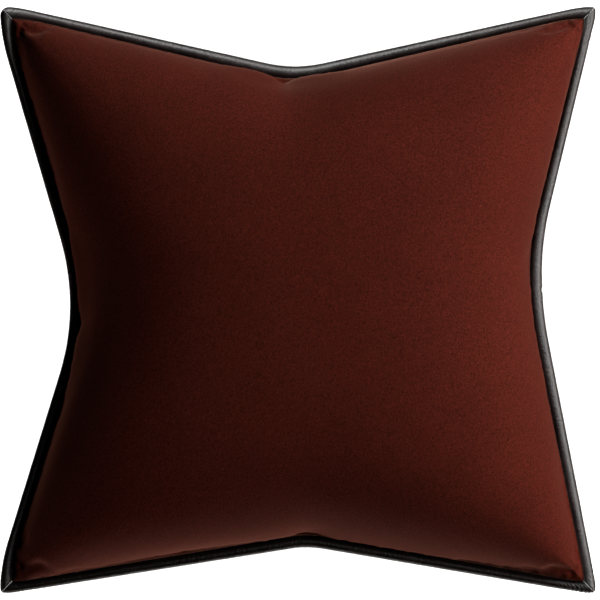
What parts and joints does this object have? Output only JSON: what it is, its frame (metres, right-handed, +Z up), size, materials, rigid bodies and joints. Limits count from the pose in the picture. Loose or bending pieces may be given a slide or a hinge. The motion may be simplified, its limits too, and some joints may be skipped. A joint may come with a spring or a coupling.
{
  "type": "throw pillow",
  "caption": "Square plump velvet throw pillow with a leather piped edge, a separate insert and a concealed zip with a sliding puller.",
  "frame": {"origin": "middle of the face that the pillow rests on, under the middle of its overall outline", "axes": "+Z up out of the front face, +Y towards the top edge, +X towards the right edge as the front face is looked at; the zip is in the -Y edge"},
  "size_m": [0.518, 0.51, 0.185],
  "materials": {
    "velvet": "matt short pile velvet",
    "leather": "semi-gloss smooth black leather",
    "filler_cord": "twisted cotton",
    "ticking": "dense plain cotton",
    "filling": "feather and down",
    "zip_tape": "woven polyester tape",
    "zip_coil": "nylon coil",
    "zip_metal": "dark plated zinc"
  },
  "bodies": {
    "cover": {"front_panel": "velvet", "back_panel": "velvet", "welt_bottom": "leather", "welt_cord_bottom": "filler_cord", "welt_right": "leather", "welt_cord_right": "filler_cord", "welt_top": "leather", "welt_cord_top": "filler_cord", "welt_left": "leather", "welt_cord_left": "filler_cord", "insert_ticking_front": "ticking", "insert_ticking_back": "ticking", "insert_fill": "filling", "zip_tape_upper": "zip_tape", "zip_tape_lower": "zip_tape", "zip_coil_upper": "zip_coil", "zip_coil_lower": "zip_coil", "zip_top_stop_upper": "zip_metal", "zip_top_stop_lower": "zip_metal", "zip_bottom_stop": "zip_metal"},
    "zip_slider": {"zip_slider": "zip_metal"},
    "zip_puller": {"zip_puller": "zip_metal"}
  },
  "joints": [
    {"name": "zip_run", "type": "hinge", "parent": "cover", "child": "zip_slider", "pos_m": [0.00481, -0.78918, 0.0785], "axis": [0, 0, 1], "range_deg": [0, 27.53]},
    {"name": "zip_puller_swing", "type": "hinge", "parent": "zip_slider", "child": "zip_puller", "pos_m": [0.15232, -0.22509, 0.0785], "axis": [0, 0, 1], "range_deg": [0, 150]}
  ]
}
